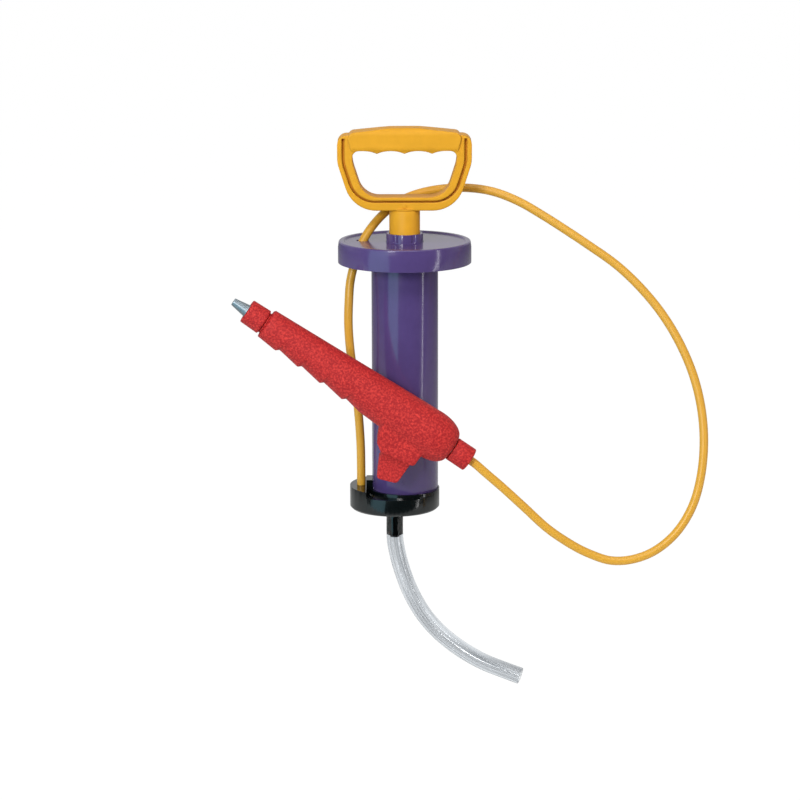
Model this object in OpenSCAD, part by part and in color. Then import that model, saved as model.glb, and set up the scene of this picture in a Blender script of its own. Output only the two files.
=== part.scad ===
// Hand-pumped water squirter: a piston pump with a D handle, a clear suction tube,
// and a hose that feeds a hand lance with a push-in trigger.
// Millimetres. The pump axis is Z, the lance lies in front of the barrel at -Y,
// and the origin is on the pump axis, half way up the open barrel.

/* [Barrel] */
// Outside diameter of the pump barrel
barrel_d = 50; // [46:0.5:54]
// Wall of the pump barrel
barrel_wall = 2.5; // [2:0.1:3]
// Length of barrel that shows between the top cap and the base
barrel_open_l = 175; // [160:1:200]
// Thickness of the seal under the barrel's foot
barrel_seal_t = 1; // [0.6:0.1:1.5]

/* [Top cap] */
// Diameter of the cap's rim
cap_d = 100; // [94:1:110]
// Height of the cap's rim
cap_h = 16.5; // [14:0.5:20]
// Wall of the cap's skirt, plate and barrel socket
cap_wall = 2; // [1.5:0.1:2.5]
// Radius of the rim's rounded top edge
cap_edge_r = 1.2; // [1:0.1:2]
// Height of the cap wall's upper part, which draws in
cap_lip_h = 5; // [4:0.5:8]
// How far that part draws in
cap_lip_draft = 0.5; // [0.2:0.1:0.8]
// Width of the rim around the top face
cap_rim_w = 4; // [3.2:0.1:6]
// Drop of the top face inside the rim
cap_dish = 1; // [0.5:0.1:1.5]
// Diameter of the hole that the hose passes through
hose_hole_d = 9.2; // [9:0.1:10]

/* [Rod guide] */
// Outside diameter of the guide bush and its fluted collar
guide_d = 28; // [27:0.1:30]
// Height of the fluted collar above the top face
guide_collar_h = 6.5; // [5:0.5:11]
// Number of flutes around the collar
guide_flutes = 6; // [4:1:8]
// Depth of each flute
guide_flute_depth = 1.3; // [0.8:0.1:1.5]

/* [Handle] */
// Width of the handle across its strap
handle_w = 100; // [96:0.1:110]
// Width of the grip bar along its top
grip_w = 84; // [80:1:90]
// Height of the grip bar at its middle
grip_h = 16.8; // [15:0.1:22]
// Depth of the grip bar, front to back
grip_depth = 22; // [20:0.5:28]
// Rise of the grip bar's arched top
grip_arch = 3; // [1:0.5:4]
// Radius of the grip bar's long edges
grip_edge_r = 5; // [2:0.5:7]
// Radius of the grip bar's end corners
grip_end_r = 5; // [3:0.5:9]
// Spacing of the finger recesses
finger_pitch = 20.5; // [18:0.1:22]
// Depth of the finger recesses
finger_depth = 2.2; // [1:0.1:2.5]
// Height of the finger opening at its middle
opening_h = 34.9; // [30:0.1:37]
// Depth of the strap, front to back
strap_depth = 19; // [13:0.5:20]
// Width of the strap's arms at the finger opening
strap_arm_w = 11.2; // [10:0.1:13]
// Height of the strap's foot under the finger opening
strap_foot_h = 9.8; // [9.6:0.1:14]
// Height of the strap's arms above the finger opening
strap_rise = 11.5; // [9:0.5:14]
// Outward lean of the lower part of the strap's arms, in degrees
strap_lean = 18; // [14:0.5:22]
// Radius of the strap's lower corners
strap_corner_r = 24; // [18:1:26]
// Radius of the strap's shoulders
strap_shoulder_r = 7; // [2:0.5:7.5]
// Distance of the groove from the strap's outer edge
groove_inset = 3.4; // [2.5:0.1:4]
// Distance of the groove from the strap's lower edge
groove_foot = 6; // [4:0.1:7]
// Width of the groove
groove_w = 2.2; // [1.5:0.1:3]
// Depth of the groove on each face
groove_depth = 2.5; // [1.5:0.1:5]

/* [Plunger] */
// Outside diameter of the plunger rod
rod_d = 23; // [22:0.1:24]
// Wall of the plunger rod
rod_wall = 2.5; // [2:0.1:3]
// Height of rod that shows above the cap's rim when the plunger is down
rod_show_h = 23.5; // [20:0.5:35]
// Travel of the plunger
stroke = 140; // [100:1:145]
// Height of the piston head above its cup seal
head_h = 4.5; // [3:0.5:6]
// Thickness of the cup seal
cup_t = 2.2; // [1.8:0.1:2.5]
// Length of the cup seal's lip
cup_lip_l = 5; // [4:0.5:7]
// Shank diameter of the piston screw
piston_screw_d = 4; // [3:0.5:5]

/* [Base] */
// Diameter of the base
base_d = 68; // [66:0.5:74]
// Thickness of the base
base_h = 12.6; // [11.5:0.1:16]
// How far the base and its inlet sit to the left of the pump axis
base_shift = 8; // [7:0.5:9]
// Depth of the socket that holds the barrel
base_socket = 4.6; // [4:0.1:6]
// Chamfer of the base's lower edge
base_chamfer = 1.5; // [0.5:0.1:2]
// Distance of the hose outlet from the base's centre
outlet_r = 25.5; // [25:0.1:26]
// Height of the outlet tower above the base
tower_h = 4.6; // [4:0.1:8]
// Depth of the web between tower and barrel
web_depth = 16; // [13:0.5:20]
// Height above the base of the web between tower and barrel
web_h = 8.9; // [6:0.1:14]
// Height of the collar around the barrel's foot
base_collar_h = 2.5; // [1:0.1:4]
// Wall of that collar
base_collar_w = 2; // [1.5:0.1:3]

/* [Valves] */
// Height of the valve plate inside the barrel
valve_plate_h = 12; // [11:0.5:15]
// Diameter of the intake ball
intake_ball_d = 8; // [7:0.1:8.4]
// Lift of the intake ball
intake_lift = 2.5; // [1.5:0.1:2.8]
// Diameter of the outlet ball
outlet_ball_d = 5; // [4.4:0.1:5.4]
// Lift of the outlet ball
outlet_lift = 1.2; // [0.8:0.1:1.4]
// Diameter of the outlet's water passage
passage_d = 3; // [2:0.1:3.2]

/* [Suction tube] */
// Outside diameter of the suction tube
suction_d = 12.7; // [11.8:0.1:13.5]
// Bore of the suction tube
suction_bore_d = 9.5; // [8.8:0.1:10]
// Length of the barb inside the suction tube
barb_l = 21; // [10:0.5:26]
// Length of the straight bore at the suction tube's open end
suction_end_l = 12; // [11:0.5:14]

/* [Hose] */
// Outside diameter of the delivery hose
hose_d = 6.5; // [6:0.1:6.6]

/* [Lance] */
// Slope of the lance, in degrees
gun_tilt = 34.6; // [33:0.1:36]
// Length of the lance's body
body_l = 166.5; // [164:0.5:172]
// Radius of the body at its front
body_front_r = 12; // [11:0.1:13]
// Radius of the body where its rear end starts to round off
body_rear_r = 18.4; // [17.5:0.1:19]
// Length of the rounded rear end
body_round_l = 19.5; // [16:0.5:22]
// Radius of the body's flat rear end
body_tail_r = 9; // [8:0.1:10]
// Wall of the body
body_wall = 4.4; // [3.8:0.1:4.6]
// Number of finger grooves under the body
gun_grooves = 4; // [3:1:4]
// Spacing of the finger grooves
gun_groove_pitch = 20.4; // [18:0.1:21]
// Depth of the finger grooves
gun_groove_depth = 2.2; // [1:0.1:2.4]
// Half the width of the trigger housing
housing_half_w = 12.5; // [12:0.1:13.5]

/* [Nozzle] */
// Length of the metal tip in front of the nozzle nut
tip_l = 12.2; // [9:0.1:15]
// Radius of the tip's front face
tip_front_r = 2.8; // [1.6:0.1:3.4]
// Radius of the tip at the nozzle nut
tip_r = 5; // [4:0.1:5.6]
// Diameter of the jet
jet_d = 1.6; // [1:0.1:2.2]
// Length of the nozzle nut
nozzle_nut_l = 15.2; // [13:0.1:17]
// Radius of the nozzle nut at its front
nozzle_nut_r = 9.3; // [8.6:0.1:10]
// Radius of the threaded stub under the nozzle nut
stub_r = 7.4; // [7:0.1:7.6]

/* [Hose nut] */
// Length of the hose nut
hose_nut_l = 15.7; // [14:0.1:18]
// Radius of the hose nut
hose_nut_r = 9.2; // [8.6:0.1:10]

/* [Trigger] */
// Width of the trigger along the lance
trigger_w = 22; // [20:0.5:23]
// Thickness of the trigger
trigger_t = 14; // [12:0.5:15]
// How far the trigger's tip stands below the lance's axis
trigger_drop = 48.8; // [46:0.1:52]
// Travel of the trigger
trigger_travel = 4.5; // [3:0.1:4.5]
// Radius of the valve body
valve_body_r = 8.5; // [8:0.1:9]
// Radius of the valve spool
spool_r = 3.1; // [2.6:0.1:3.4]
// Radius of the water way through the valve
water_r = 2; // [1.5:0.1:2.1]

/* [Clearances] */
// Gap between pieces that are pressed or glued together
seat_gap = 0.1; // [0.05:0.01:0.2]
// Gap between pieces that slide on each other
slide_gap = 0.3; // [0.2:0.05:0.4]
// Gap around the valve spool
spool_gap = 0.1; // [0.05:0.01:0.15]

/* [Hidden] */
$fn = 64;
eps = 0.01;
past = 1;

violet = "#4a3a78";
amber = "#e8aa30";
black = "#1c2022";
red = "#c03034";
metal = "#b9c0c4";
pale = "#e6e6e2";
rubber = "#2c2c2e";

// Barrel and top cap
barrel_r = barrel_d / 2;
bore_r = barrel_r - barrel_wall;
cap_r = cap_d / 2;
cap_z0 = barrel_open_l / 2;
cap_z1 = cap_z0 + cap_h;
cap_top = cap_z1 - cap_dish;
plate_z = cap_top - cap_wall;
cap_socket_lift = 2;
hose_hole = [-31.6, 4.7];

// Base, seen from above: the tower is on the left, its valve below the hose
base_step = 1.4;
base_z1 = -barrel_open_l / 2 - base_step;
base_z0 = base_z1 - base_h;
base_floor = base_z1 - base_socket;
spigot_r = 5;
barrel_z0 = base_floor + barrel_seal_t;
tower_x = -base_shift - outlet_r;
tower_z1 = base_z1 + tower_h;
tower_inner_x = tower_x + 4;
hose_seat_h = 1.9;
hose_seat_z = base_z1 + hose_seat_h;
retainer_t = 1;
passage_z = base_floor - 3;
hose_r = hose_d / 2;
hose_bore_r = hose_r + seat_gap;

// Valves
intake_r = intake_ball_d / 2;
intake_seat_r = 3;
intake_z = base_floor + sqrt(intake_r * intake_r - intake_seat_r * intake_seat_r) + seat_gap;
chamber_r = intake_r + 1;
chamber_z1 = intake_z + intake_r + intake_lift + slide_gap;
valve_plate_z1 = base_floor + valve_plate_h;
outlet_ball_r = outlet_ball_d / 2;
passage_r = passage_d / 2;
outlet_z = hose_seat_z - retainer_t - slide_gap - outlet_lift - outlet_ball_r;
outlet_seat_z = outlet_z - sqrt(outlet_ball_r * outlet_ball_r - passage_r * passage_r) - seat_gap;
delivery_x = -17;

// Plunger, at the bottom of its stroke
rod_r = rod_d / 2;
rod_bore_r = rod_r - rod_wall;
guide_r = guide_d / 2;
guide_bore_r = rod_r + slide_gap;
piston_gap = 0.5;
follower_z0 = valve_plate_z1 + piston_gap;
cup_z0 = follower_z0 - 0.2;
cup_z1 = cup_z0 + cup_lip_l + cup_t;
cup_r = bore_r - slide_gap;
head_z1 = cup_z1 + head_h;
head_r = cup_r - 0.5;
hub_l = 17;
hub_r = rod_bore_r - seat_gap;
screw_r = piston_screw_d / 2;
screw_head_r = screw_r + 2.4;
screw_head_h = 2.4;
guide_z0 = head_z1 + stroke + piston_gap;

// Handle
handle_z0 = cap_z1 + rod_show_h;
opening_z0 = handle_z0 + strap_foot_h;
opening_z1 = opening_z0 + opening_h;
handle_z1 = opening_z1 + grip_h;
cusp_z = opening_z1 - finger_depth;
strap_z1 = opening_z1 + strap_rise;
strap_knee_r = 25;
strap_knee_z = opening_z1 - 5;
opening_corner_r = 16;
opening_top_r = 5;
groove_foot_w = 1.4;
groove_top = 2.4;
finger_count = 4;
finger_r = (pow(finger_pitch / 2, 2) + pow(finger_depth, 2)) / (2 * finger_depth);
arch_r = (pow(grip_w / 2, 2) + pow(grip_arch, 2)) / (2 * grip_arch);
grip_end_z = handle_z1 - grip_arch;
boss_h = 1;
gate_d = 3;
gate_h = 0.4;
gate_z = 3.6;

// Lance: u runs from the nozzle nut's front face towards the hose, v is up from the axis
gun_rest_gap = 0.5;
gun_y = -(barrel_r + body_rear_r + gun_rest_gap);
gun_pos = [-116.5, gun_y, 58.5];
gun_axis = [cos(gun_tilt), 0, -sin(gun_tilt)];
nut_gap = 0.6;
neck_l = 1.8;
body_u0 = nozzle_nut_l + neck_l;
body_u1 = body_u0 + body_l;
body_us = body_u1 - body_round_l;
groove_lead = 16.5;
groove_u = body_u0 + groove_lead;
groove_shift = 3;
groove_step = 2.5;
front_wall = 3;
trigger_tail = 30.2;
trigger_u = body_u1 - trigger_tail;
mouth_u0 = trigger_u - trigger_w / 2 - slide_gap;
mouth_u1 = trigger_u + trigger_w / 2 + slide_gap;
mouth_y = trigger_t / 2 + slide_gap;
ear_w = 2;
ear_h = 3.5;
trigger_top = -20;
ledge_v = trigger_top - ear_h - slide_gap;
chamber_v = trigger_top + trigger_travel + slide_gap;
valve_l = 58;
valve_u1 = body_u1 - 7.5;
valve_u0 = valve_u1 - valve_l;
tube_r = 4;
tube_socket = 8;
tail_r = 5;
tail_end_u = body_u1 + 7.5;
hose_nut_u0 = body_u1 + nut_gap;
hose_nut_u1 = hose_nut_u0 + hose_nut_l;
post_r = 2.6;
body_screw_r = 1.2;
body_screw_head_r = 2.2;
body_screw_head_y = 3.5;
body_screw_l = 8.5;
screw_inset = 5;
screw_lead = 28;
screw_tails = [78.5, 13.5];
screw_places = concat([body_u0 + screw_lead], [for (tail = screw_tails) body_u1 - tail]);
housing_screw = [trigger_u - 16.8, -19.5];
tip_flange = 1.5;
washer_t = 1.5;
nut_front = 2;
stub_u0 = nut_front + tip_flange + washer_t;
stub_neck_r = 5.8;
hose_nut_bore_r = 6;

// Valve spool, measured from the lance's axis along v
waist_l = 2 * water_r + 0.4;
waist_z1 = -water_r - 0.2;
waist_z0 = waist_z1 - waist_l;
spool_top = water_r + 0.3;
stem_r = 2;
seal_t = 1;
seal_spots = [(waist_z0 - valve_body_r - seal_t) / 2, spool_top - 1.4 * seal_t];

// Trigger housing, from its root inside the body to its lower edge
housing_wall = 2;
housing_root_v = -4;
housing_slope_l = 10.3;
housing_slope_v = -17;
housing_bulge_l = 6;
housing_bulge_v = -26;
housing_front_u = mouth_u0 - housing_wall;
housing_front_v = -30;
housing_rear_u = mouth_u1 + housing_wall;
housing_rear_v = -26;
housing_rear_r = 3;

// Route of the hose: up from the base's tower, through the top cap, behind the handle and
// round in one open bend to the lance
hose_sides = 10;
upper_route = concat([[tower_x, 0, hose_seat_z]], [
    [-33.5, 0, -68], [-33.8, -0.5, -52], [-34.8, -2, -34], [-36.4, -3.5, -16], [-38.8, -5, 3],
    [-41.2, -6, 22], [-42.4, -6, 41], [-42, -4.5, 58], [-40.8, -1.5, 73], [-37, 1.8, 88], [-31, 5, 103],
    [-23.4, 10, 114], [-14, 16.5, 123], [-2, 21.5, 131], [12, 24.5, 136], [29, 25.5, 139],
    [48, 25, 139.6], [67, 22.8, 137], [86, 19.5, 130], [104, 16, 120], [121, 12.5, 109.5], [138, 9, 98.5]
]);
lower_route = concat([
    [138, 9, 98.5], [159, 5, 84], [177, 0, 67.5], [193, -5, 48.5], [206, -11, 27.5], [216, -17, 4.5],
    [222, -23, -19.5], [224, -29, -44], [222, -34, -68.5], [216, -38, -91], [205, -41, -110],
    [190, -42.5, -124], [173, -43.6, -131.5], [155, -43.9, -133], [138, -43.9, -127.5],
    [123, -43.9, -119.5], [106, -43.9, -107.5], [89, -43.9, -91.5], [73, -43.9, -76.5], [60, -43.9, -65]
], [gun_pos + (hose_nut_u1 + 4) * gun_axis, gun_pos + (tail_end_u + slide_gap) * gun_axis]);

// Route of the suction tube, from the spigot's collar to its open end
suction_sides = 12;
collar_h = 2.5;
suction_z = base_z0 - collar_h;
suction_route = concat([[-base_shift, 0, suction_z]], [
    [-8, 0, -124], [-6.9, 0, -134], [-3.5, 0, -148.5], [3, 0, -167], [12.5, 0, -185], [25, 0, -200.5],
    [41, 0, -214], [59, 0, -225], [76.5, 0, -232.3], [88.5, 0, -236.9]
]);

function unit(v) = v / norm(v);
function heading(p, i) = unit(p[min(i + 1, len(p) - 1)] - p[max(i - 1, 0)]);
function ring(p, i, r, sides, side_way) =
    let (t = heading(p, i), a = unit(cross(side_way, t)), b = cross(t, a))
    [for (k = [0 : sides - 1]) p[i] + r * (cos(360 * k / sides) * a + sin(360 * k / sides) * b)];
function lengthened(p, by) =
    let (last = len(p) - 1)
    concat([p[0] - by * heading(p, 0)], p, [p[last] + by * heading(p, last)]);
function arc(c, r, from, to, steps) =
    [for (i = [0 : steps]) let (a = from + (to - from) * i / steps) c + r * [cos(a), sin(a)]];
function right_side(pts) = [for (i = [len(pts) - 1 : -1 : 0]) [-pts[i][0], pts[i][1]]];

// Outline of the strap: a flat foot, round lower corners, arms that lean out and then stand upright
function tub_side(half_w, z0, z1, corner_r, top_r) =
    let (
        knee_x = half_w - strap_knee_r * (1 - cos(strap_lean)),
        lean_z = strap_knee_z - strap_knee_r * sin(strap_lean),
        cz = z0 + corner_r,
        cx = knee_x - corner_r * cos(strap_lean)
            - (lean_z - cz + corner_r * sin(strap_lean)) * tan(strap_lean)
    )
    concat(
        arc([cx, cz], corner_r, -90, -strap_lean, 10),
        arc([half_w - strap_knee_r, strap_knee_z], strap_knee_r, -strap_lean, 0, 4),
        top_r > 0 ? arc([half_w - top_r, z1 - top_r], top_r, 0, 90, 5) : [[half_w, z1]]
    );
function tub(half_w, z0, z1, corner_r, top_r) =
    let (half = tub_side(half_w, z0, z1, corner_r, top_r)) concat(half, right_side(half));

// Places of the lance's screws: along the body's upper edge, and one beside the trigger
function screw_spots() = concat(
    [for (u = screw_places) [u, body_r(u) - screw_inset]],
    [housing_screw]
);

function body_r(u) =
    body_front_r + (body_rear_r - body_front_r) * (u - body_u0) / (body_us - body_u0);

// A solid tube through all points of a route
module tube_along(p, r, sides, side_way = [0, 1, 0]) {
    n = len(p);
    points = [for (i = [0 : n - 1]) each ring(p, i, r, sides, side_way)];
    walls = [
        for (i = [0 : n - 2], k = [0 : sides - 1])
            let (a = i * sides + k, b = i * sides + (k + 1) % sides)
            each [[a, a + sides, b + sides], [a, b + sides, b]]
    ];
    first = [for (k = [0 : sides - 1]) k];
    last = [for (k = [sides - 1 : -1 : 0]) (n - 1) * sides + k];
    polyhedron(points, concat(walls, [first], [last]), convexity = 6);
}

module pipe(r_out, r_in, z0, z1) {
    translate([0, 0, z0])
        difference() {
            cylinder(r = r_out, h = z1 - z0);
            translate([0, 0, -past])
                cylinder(r = r_in, h = z1 - z0 + 2 * past);
        }
}

module rod(r, z0, z1) {
    translate([0, 0, z0])
        cylinder(r = r, h = z1 - z0);
}

// Extrudes an X-Z outline along Y, centred on Y = 0
module plate_xz(depth) {
    rotate([90, 0, 0])
        linear_extrude(depth, center = true)
            children();
}

// The lance's own frame: X is u, Z is v
module on_gun() {
    translate(gun_pos)
        rotate([0, gun_tilt, 0])
            children();
}

// Turns a solid that stands on Z so that it lies along u
module along_u() {
    rotate([0, 90, 0])
        children();
}

module along_y(y) {
    translate([0, y, 0])
        rotate([-90, 0, 0])
            children();
}

module barrel() {
    color(violet)
        pipe(barrel_r, bore_r, barrel_z0, plate_z);
}

module barrel_seal() {
    color(rubber)
        pipe(barrel_r, bore_r, base_floor, barrel_z0);
}

module top_cap() {
    socket_r = barrel_r + seat_gap;
    socket_z0 = cap_z0 + cap_socket_lift;
    profile = concat(
        [[cap_r - cap_wall, cap_z0], [cap_r, cap_z0], [cap_r, cap_z1 - cap_lip_h]],
        arc([cap_r - cap_lip_draft - cap_edge_r, cap_z1 - cap_edge_r], cap_edge_r, 0, 90, 6),
        [
            [cap_r - cap_rim_w, cap_z1], [cap_r - cap_rim_w - cap_dish, cap_top],
            [guide_r + seat_gap, cap_top], [guide_r + seat_gap, plate_z], [socket_r, plate_z],
            [socket_r, socket_z0], [socket_r + cap_wall, socket_z0], [socket_r + cap_wall, plate_z],
            [cap_r - cap_wall, plate_z]
        ]
    );
    color(violet)
        difference() {
            rotate_extrude($fn = 128)
                polygon(profile);
            translate([hose_hole[0], hose_hole[1], plate_z - past / 2])
                cylinder(d = hose_hole_d, h = cap_wall + past);
        }
}

// Bush for the rod: a fluted collar on top, a snap flange under the plate, a stop at its foot
module rod_guide() {
    flange_h = 2;
    flute_r = 2.4;
    collar_z1 = cap_top + guide_collar_h;
    color(violet)
        difference() {
            union() {
                pipe(guide_r, guide_bore_r, guide_z0, collar_z1);
                pipe(guide_r + flange_h, guide_r - eps, plate_z - flange_h, plate_z);
            }
            for (i = [0 : guide_flutes - 1])
                rotate([0, 0, 360 * (i + 0.5) / guide_flutes - 90])
                    translate([guide_r + flute_r - guide_flute_depth, 0, cap_top + past])
                        cylinder(r = flute_r, h = guide_collar_h);
        }
}

module base() {
    color(black)
        difference() {
            union() {
                translate([-base_shift, 0, base_z0]) {
                    cylinder(r1 = base_d / 2 - base_chamfer, r2 = base_d / 2, h = base_chamfer, $fn = 128);
                    translate([0, 0, base_chamfer])
                        cylinder(d = base_d, h = base_h - base_chamfer, $fn = 128);
                }
                outlet_tower();
            }
            rod(barrel_r + seat_gap, base_floor, tower_z1 + web_h);
            translate([-base_shift, 0, 0])
                rod(spigot_r + seat_gap, base_z0 - past, base_floor + past);
            outlet_way();
        }
}

// Tower flush with the base's rim, with a web that ties it to the collar round the barrel
module outlet_tower() {
    intersection() {
        translate([-base_shift, 0, base_z1 - past])
            cylinder(d = base_d, h = web_h + past, $fn = 128);
        union() {
            translate([-base_shift - base_d, -base_d, base_z1 - past])
                cube([base_d + base_shift + tower_inner_x, 2 * base_d, tower_h + past]);
            translate([tower_inner_x - eps, -web_depth / 4, base_z1 - past])
                cube([-tower_inner_x, web_depth, web_h + past]);
            rod(barrel_r + seat_gap + base_collar_w, base_z1 - past, base_z1 + base_collar_h);
        }
    }
}

// Water way from the barrel's floor to the tower, the ball's chamber and the hose's socket
module outlet_way() {
    translate([delivery_x, 0, 0])
        rod(passage_r, passage_z, base_floor + past);
    translate([tower_x, 0, passage_z])
        along_u()
            cylinder(r = passage_r, h = delivery_x - tower_x);
    translate([tower_x, 0, 0]) {
        rod(passage_r, passage_z, outlet_seat_z + eps);
        rod(hose_bore_r, outlet_seat_z, tower_z1 + past);
    }
}

// Inlet spigot, pressed into the base from below; its upper rim is the intake ball's seat
module inlet_spigot() {
    root_r = suction_d / 2 + 0.5;
    barb_r = suction_bore_d / 2 - 0.5;
    barb_n = 4;
    barb_z0 = suction_z - barb_l;
    barb_pitch = barb_l / barb_n;
    color(black)
        translate([-base_shift, 0, 0])
            difference() {
                union() {
                    rod(spigot_r, base_z0 - eps, base_floor);
                    rod(root_r, suction_z, base_z0);
                    for (i = [0 : barb_n - 1])
                        translate([0, 0, barb_z0 + i * barb_pitch])
                            cylinder(r1 = barb_r - 0.7, r2 = barb_r, h = barb_pitch + eps);
                }
                rod(intake_seat_r, barb_z0 - past, base_floor + past);
            }
}

// Plate in the barrel's foot: the intake ball's chamber and cage, and the delivery hole
module valve_plate() {
    cage_n = 3;
    cage_r = 1.4;
    color(pale)
        difference() {
            rod(bore_r - seat_gap, base_floor, valve_plate_z1);
            translate([-base_shift, 0, 0]) {
                rod(chamber_r, base_floor - past, chamber_z1);
                for (i = [0 : cage_n - 1])
                    rotate([0, 0, 360 * i / cage_n])
                        translate([chamber_r - cage_r - 0.5, 0, 0])
                            rod(cage_r, chamber_z1 - eps, valve_plate_z1 + past);
            }
            translate([delivery_x, 0, 0])
                rod(passage_r, base_floor - past, valve_plate_z1 + past);
        }
}

module intake_ball() {
    color(pale)
        translate([-base_shift, 0, intake_z])
            sphere(d = intake_ball_d);
}

module outlet_ball() {
    color(pale)
        translate([tower_x, 0, outlet_z])
            sphere(d = outlet_ball_d);
}

// Perforated washer under the hose's end, which holds the outlet ball in
module outlet_retainer() {
    hole_r = 0.8;
    color(pale)
        translate([tower_x, 0, 0])
            difference() {
                rod(hose_r, hose_seat_z - retainer_t, hose_seat_z);
                for (i = [0 : 3])
                    rotate([0, 0, 90 * i])
                        translate([hose_r / 2, 0, 0])
                            rod(hole_r, hose_seat_z - retainer_t - past, hose_seat_z + past);
            }
}

// D handle: a grip bar between the arms of a grooved strap, and a boss over the rod
module handle() {
    color(amber)
        difference() {
            union() {
                strap();
                grip();
                rod(rod_r, handle_z0, handle_z0 + boss_h);
                rod(hub_r, handle_z0 - hub_l, handle_z0 + boss_h);
                translate([0, 0, handle_z0 + gate_z])
                    along_y(-strap_depth / 2 - gate_h)
                        cylinder(d = gate_d, h = strap_depth / 2);
            }
            finger_opening();
        }
}

module strap() {
    half_w = handle_w / 2;
    side = groove_inset + groove_w;
    foot = groove_foot + groove_foot_w;
    difference() {
        plate_xz(strap_depth)
            polygon(tub(half_w, handle_z0, strap_z1, strap_corner_r, strap_shoulder_r));
        for (y = [-1, 1])
            translate([0, y * strap_depth / 2, 0])
                plate_xz(2 * groove_depth)
                    difference() {
                        polygon(tub(half_w - groove_inset, handle_z0 + groove_foot, strap_z1 - groove_top,
                            strap_corner_r - groove_inset, 0));
                        polygon(tub(half_w - side, handle_z0 + foot, strap_z1 + past,
                            strap_corner_r - side, 0));
                    }
    }
}

// Grip bar with an arched top, rounded long edges and ends that draw in to the finger opening
module grip() {
    full_h = handle_z1 - cusp_z;
    foot_w = handle_w - 2 * strap_arm_w;
    intersection() {
        translate([0, 0, handle_z1 - arch_r])
            along_y(-grip_depth)
                cylinder(r = arch_r, h = 2 * grip_depth, $fn = 256);
        translate([0, 0, cusp_z + full_h / 2])
            rotate([90, 0, 90])
                linear_extrude(2 * grip_w, center = true)
                    rounded_box(grip_depth, full_h, grip_edge_r);
        plate_xz(2 * grip_depth)
            polygon(concat(
                [[-foot_w / 2, cusp_z - past], [foot_w / 2, cusp_z - past]],
                arc([grip_w / 2 - grip_end_r, grip_end_z - grip_end_r], grip_end_r, 0, 75, 6),
                [[0, handle_z1 + past]],
                arc([grip_end_r - grip_w / 2, grip_end_z - grip_end_r], grip_end_r, 105, 180, 6)
            ));
    }
}

module rounded_box(w, h, r) {
    polygon(concat(
        arc([w / 2 - r, h / 2 - r], r, 0, 90, 8), arc([r - w / 2, h / 2 - r], r, 90, 180, 8),
        arc([r - w / 2, r - h / 2], r, 180, 270, 8), arc([w / 2 - r, r - h / 2], r, 270, 360, 8)
    ));
}

// The opening between strap and grip; each finger recess is an arc in its upper edge
module finger_opening() {
    side = tub_side(handle_w / 2 - strap_arm_w, opening_z0, opening_z1, opening_corner_r, opening_top_r);
    last = (finger_count - 1) / 2;
    swing = asin(finger_pitch / 2 / finger_r);
    recesses = [
        for (i = [last : -1 : -last])
            each arc(
                [i * finger_pitch, opening_z1 - finger_r], finger_r,
                90 - (i == last ? 0 : swing), 90 + (i == -last ? 0 : swing), 8
            )
    ];
    plate_xz(2 * grip_depth)
        polygon(concat(side, recesses, right_side(side)));
}

module plunger_rod() {
    color(amber)
        pipe(rod_r, rod_bore_r, head_z1, handle_z0);
}

module piston_head() {
    color(pale)
        difference() {
            union() {
                rod(head_r, cup_z1, head_z1);
                rod(hub_r, head_z1 - eps, head_z1 + hub_l);
            }
            rod(screw_r + seat_gap, cup_z1 - past, head_z1 + hub_l + past);
        }
}

// Cup seal with its lip facing down
module piston_cup() {
    color(rubber)
        difference() {
            rod(cup_r, cup_z0, cup_z1);
            rod(cup_r - cup_t, cup_z0 - past, cup_z1 - cup_t);
            rod(screw_r + seat_gap, cup_z0, cup_z1 + past);
        }
}

module piston_follower() {
    color(pale)
        difference() {
            rod(cup_r - cup_t - slide_gap, follower_z0, cup_z1 - cup_t);
            rod(screw_head_r + seat_gap, follower_z0 - past, follower_z0 + screw_head_h);
            rod(screw_r + seat_gap, follower_z0, cup_z1);
        }
}

module piston_screw() {
    color(metal) {
        rod(screw_head_r, follower_z0, follower_z0 + screw_head_h);
        rod(screw_r, follower_z0 + screw_head_h - eps, head_z1 + hub_l - 2);
    }
}

// Clear suction tube, with a straight round bore at its open end
module suction_tube() {
    count = len(suction_route);
    open_end = suction_route[count - 1];
    way = heading(suction_route, count - 1);
    color("#dfe6ea", 0.5)
        difference() {
            tube_along(suction_route, suction_d / 2, suction_sides);
            tube_along(lengthened(suction_route, past), suction_bore_d / 2 - seat_gap, suction_sides);
            translate(open_end - suction_end_l * way)
                rotate([0, 90 + asin(-way[2]), 0])
                    cylinder(d = suction_bore_d, h = suction_end_l + past);
        }
}

module hose_upper() {
    color(amber)
        tube_along(upper_route, hose_r, hose_sides);
}

module hose_lower() {
    color(amber)
        tube_along(lower_route, hose_r, hose_sides);
}

// Outside of the lance's body: a tapered revolve with a round rear end
module body_form() {
    profile = concat(
        [[0, body_u0], [body_front_r - 1, body_u0], [body_front_r, body_u0 + 1]],
        [for (a = [0 : 10 : 90])
            [
                body_tail_r + (body_rear_r - body_tail_r) * cos(a),
                body_us + body_round_l * sin(a)
            ]],
        [[0, body_u1]]
    );
    along_u()
        rotate_extrude($fn = 96)
            polygon(profile);
}

// Larger revolve on a raised axis; where its steps dip under the body they leave the finger grooves
module groove_form() {
    nose_relief = 0.9;
    last_u = groove_u + gun_grooves * gun_groove_pitch;
    steps = concat(
        [[body_u0 - past, nose_relief]],
        [for (i = [0 : gun_grooves - 1])
            let (u = groove_u + i * gun_groove_pitch)
            each [[u, 0], [u + groove_step, gun_groove_depth]]],
        [[last_u + groove_step, -past], [body_u1 + past, -past]]
    );
    profile = concat(
        [[0, body_u0 - past]],
        [for (s = steps) [body_r(s[0]) + groove_shift - s[1], s[0]]],
        [[0, body_u1 + past]]
    );
    translate([0, 0, groove_shift])
        along_u()
            rotate_extrude($fn = 96)
                polygon(profile);
}

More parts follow.
